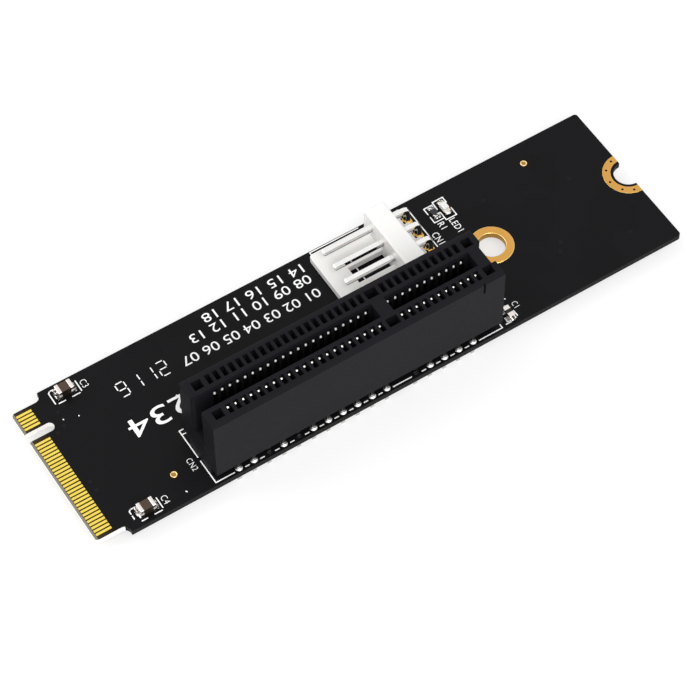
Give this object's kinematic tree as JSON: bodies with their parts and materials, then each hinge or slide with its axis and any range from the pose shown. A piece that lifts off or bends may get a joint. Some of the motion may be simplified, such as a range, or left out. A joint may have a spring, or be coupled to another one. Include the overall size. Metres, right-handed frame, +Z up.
{
  "type": "solid-state drive socket to expansion-slot adapter card",
  "caption": "Slim plug-in board with gold edge fingers and a key notch, carrying an upright open-ended expansion-card slot and a white right-angle power header.",
  "frame": {"origin": "middle of the leading edge of the plug-in tab, on the underside of the board", "axes": "+X along the card away from the socket it plugs into, +Y across the card towards the power header, +Z up out of the component side"},
  "size_m": [0.08, 0.022, 0.0136],
  "materials": {
    "black_laminate": "black solder mask over glass-epoxy laminate",
    "gold_plate": "immersion gold over copper",
    "black_moulding": "moulded glass-filled plastic",
    "spring_contact": "plated phosphor bronze",
    "solder": "bright tin solder",
    "white_moulding": "moulded nylon",
    "tinned_pin": "bright tin plate",
    "capacitor_ceramic": "fired ceramic",
    "chip_terminal": "tin plate",
    "resistor_glaze": "glazed overcoat",
    "led_base": "white laminate",
    "led_lens": "cast resin"
  },
  "bodies": {
    "root": {"circuit_board": "black_laminate", "edge_contacts_top": "gold_plate", "edge_contacts_bottom": "gold_plate", "mid_hole_rings": "gold_plate", "end_notch_pads": "gold_plate", "fiducial_marks": "gold_plate", "header_pads": "gold_plate", "slot_housing": "black_moulding", "slot_contacts_near_outer": "spring_contact", "slot_contacts_near_inner": "spring_contact", "slot_contacts_far_outer": "spring_contact", "slot_contacts_far_inner": "spring_contact", "slot_solder_top": "solder", "slot_solder_bottom": "solder", "header_solder": "solder", "chip_solder_joints": "solder", "header_housing": "white_moulding", "header_pin_1": "tinned_pin", "header_pin_2": "tinned_pin", "header_pin_3": "tinned_pin", "header_pin_4": "tinned_pin", "capacitor_far_body": "capacitor_ceramic", "capacitor_near_body": "capacitor_ceramic", "capacitor_slot_body": "capacitor_ceramic", "capacitor_far_terminals": "chip_terminal", "capacitor_near_terminals": "chip_terminal", "capacitor_slot_terminals": "chip_terminal", "resistor_body": "resistor_glaze", "resistor_terminals": "chip_terminal", "led_base": "led_base", "led_lens": "led_lens", "led_terminals": "chip_terminal"}
  },
  "joints": []
}
